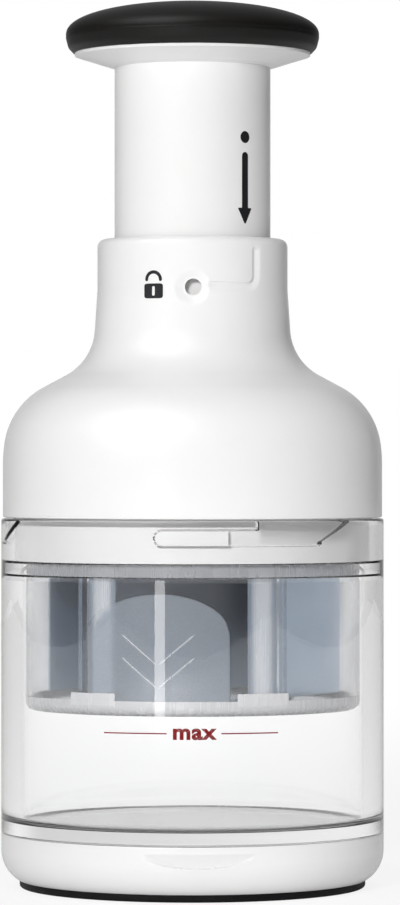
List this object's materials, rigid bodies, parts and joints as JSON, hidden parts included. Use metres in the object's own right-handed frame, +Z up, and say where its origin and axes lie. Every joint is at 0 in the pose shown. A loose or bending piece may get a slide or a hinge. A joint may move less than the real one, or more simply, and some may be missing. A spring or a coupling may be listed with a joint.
{
  "type": "press food chopper",
  "caption": "Hand-pressed food chopper: a palm knob on a sprung plunger drives a turning zigzag blade down through a frosted guard into a clear cup.",
  "frame": {"origin": "middle of the foot ring's underside, on the surface it stands on", "axes": "+Z up along the plunger, -Y towards the front (the window and the print), +X to the viewer's right"},
  "size_m": [0.1, 0.1, 0.231],
  "materials": {
    "white_shell": "glossy white moulded plastic, with a fine mould grain",
    "clear_cup": "clear polished plastic",
    "frosted_guard": "translucent frosted plastic",
    "soft_black": "soft black over-moulded rubber, satin",
    "core_plastic": "white moulded plastic, satin",
    "foot_rubber": "black rubber",
    "slide_plastic": "natural low-friction plastic",
    "inner_plastic": "white moulded plastic, satin",
    "blade_steel": "stainless strip, fine brushed",
    "spindle_steel": "drawn bar, bright",
    "spring_steel": "spring wire",
    "screw_steel": "plated steel"
  },
  "bodies": {
    "base": {"base_cover": "white_shell", "foot_ring": "foot_rubber"},
    "cup": {"cup": "clear_cup"},
    "head": {"housing_shell": "white_shell", "guide_sleeve": "slide_plastic", "spigot_ring": "white_shell", "deck_plate": "inner_plastic", "deck_screws": "screw_steel", "drive_nut": "slide_plastic", "pawl_ring": "slide_plastic", "nut_cap": "inner_plastic", "return_spring": "spring_steel"},
    "plunger": {"plunger_tube": "white_shell", "knob_core": "core_plastic", "knob_cover": "soft_black", "knob_screws": "screw_steel", "spindle_bush": "slide_plastic"},
    "cutter": {"spindle": "spindle_steel", "spindle_washer": "screw_steel", "spindle_screw": "screw_steel", "spindle_pin": "screw_steel", "blade_holder": "inner_plastic", "blade": "blade_steel", "blade_rivets": "screw_steel"},
    "guard": {"blade_guard": "frosted_guard"}
  },
  "joints": [
    {"name": "cup_lift", "type": "slide", "parent": "base", "child": "cup", "axis": [0, 0, 1], "range_m": [0, 0.012]},
    {"name": "head_twist", "type": "hinge", "parent": "cup", "child": "head", "pos_m": [0, 0, 0.092], "axis": [0, 0, 1], "range_deg": [0, 31]},
    {"name": "plunger_press", "type": "slide", "parent": "head", "child": "plunger", "axis": [0, 0, -1], "range_m": [0, 0.0332], "stiffness_N_per_m": 400, "springref_m": -0.03, "deforming": ["return_spring"]},
    {"name": "blade_turn", "type": "hinge", "parent": "plunger", "child": "cutter", "pos_m": [0, 0, 0.065], "axis": [0, 0, 1], "range_deg": [0, 49.9]},
    {"name": "guard_turn", "type": "hinge", "parent": "head", "child": "guard", "pos_m": [0, 0, 0.072], "axis": [0, 0, 1], "range_deg": [0, 49.9]}
  ],
  "couplings": [
    {"joint": "blade_turn", "follows": "plunger_press", "rad_per_m": 26.18},
    {"joint": "guard_turn", "follows": "plunger_press", "rad_per_m": 26.18}
  ]
}
